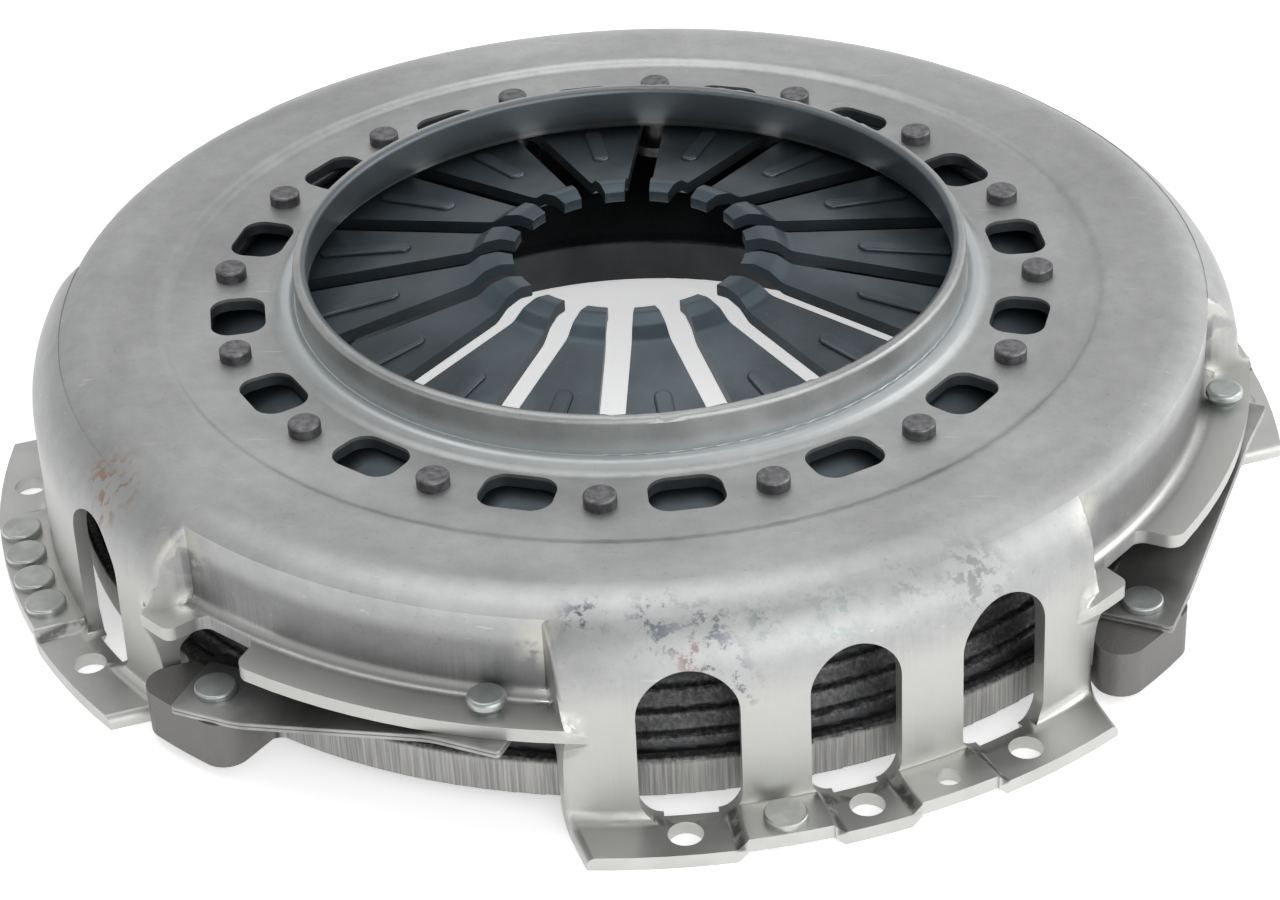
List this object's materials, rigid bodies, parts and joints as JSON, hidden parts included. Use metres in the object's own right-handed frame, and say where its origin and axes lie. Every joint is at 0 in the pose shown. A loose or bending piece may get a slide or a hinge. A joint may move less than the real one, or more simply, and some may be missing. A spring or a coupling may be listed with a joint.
{
  "type": "clutch pressure plate",
  "caption": "Clutch pressure plate: a pressed steel cover with a diaphragm spring and a cast plate hung on leaf straps, bolted to a flywheel to clamp the clutch disc.",
  "frame": {"origin": "on the axis of the clutch, in the plane of the feet that bolt to the flywheel", "axes": "+Z along the clutch axis from the flywheel to the release bearing; +X lies to the right and +Y to the back of the part as it stands in the picture, half way between the first two bolt holes of two feet"},
  "size_m": [0.43, 0.43, 0.0848],
  "materials": {
    "cover_sheet": "pressed bare steel, satin, burnished at the bends",
    "ring_wire": "dark hardened wire",
    "stepped_rivet": "dark phosphated steel",
    "spring_steel": "blue-grey tempered spring steel",
    "plate_casting": "rough casting with a turned rim",
    "strap_steel": "dark spring strip with bright edges",
    "strap_rivet": "zinc plated",
    "balance_rivet": "zinc plated"
  },
  "bodies": {
    "cover": {"cover": "cover_sheet", "upper_fulcrum_ring": "ring_wire", "lower_fulcrum_ring": "ring_wire", "fulcrum_rivets": "stepped_rivet", "strap_back_right_lower": "strap_steel", "strap_back_right_upper": "strap_steel", "strap_back_left_lower": "strap_steel", "strap_back_left_upper": "strap_steel", "strap_front_left_lower": "strap_steel", "strap_front_left_upper": "strap_steel", "strap_front_right_lower": "strap_steel", "strap_front_right_upper": "strap_steel", "anchor_rivet_back_right": "strap_rivet", "anchor_rivet_back_left": "strap_rivet", "anchor_rivet_front_left": "strap_rivet", "anchor_rivet_front_right": "strap_rivet", "balance_rivet_front": "balance_rivet", "balance_rivets_right": "balance_rivet", "balance_rivets_left": "balance_rivet"},
    "plate": {"pressure_plate": "plate_casting", "lug_rivet_back_right": "strap_rivet", "lug_rivet_back_left": "strap_rivet", "lug_rivet_front_left": "strap_rivet", "lug_rivet_front_right": "strap_rivet"},
    "spring": {"diaphragm_spring": "spring_steel"}
  },
  "joints": [
    {"name": "plate_lift", "type": "slide", "parent": "cover", "child": "plate", "axis": [0, 0, 1], "range_m": [0, 0.0075], "stiffness_N_per_m": 200000, "springref_m": -0.002, "deforming": ["strap_back_right_lower", "strap_back_right_upper", "strap_back_left_lower", "strap_back_left_upper", "strap_front_left_lower", "strap_front_left_upper", "strap_front_right_lower", "strap_front_right_upper"]},
    {"name": "finger_release", "type": "slide", "parent": "cover", "child": "spring", "axis": [0, 0, -1], "range_m": [0, 0.03], "deforming": ["diaphragm_spring"]}
  ],
  "couplings": [
    {"joint": "finger_release", "follows": "plate_lift", "ratio": 4}
  ]
}
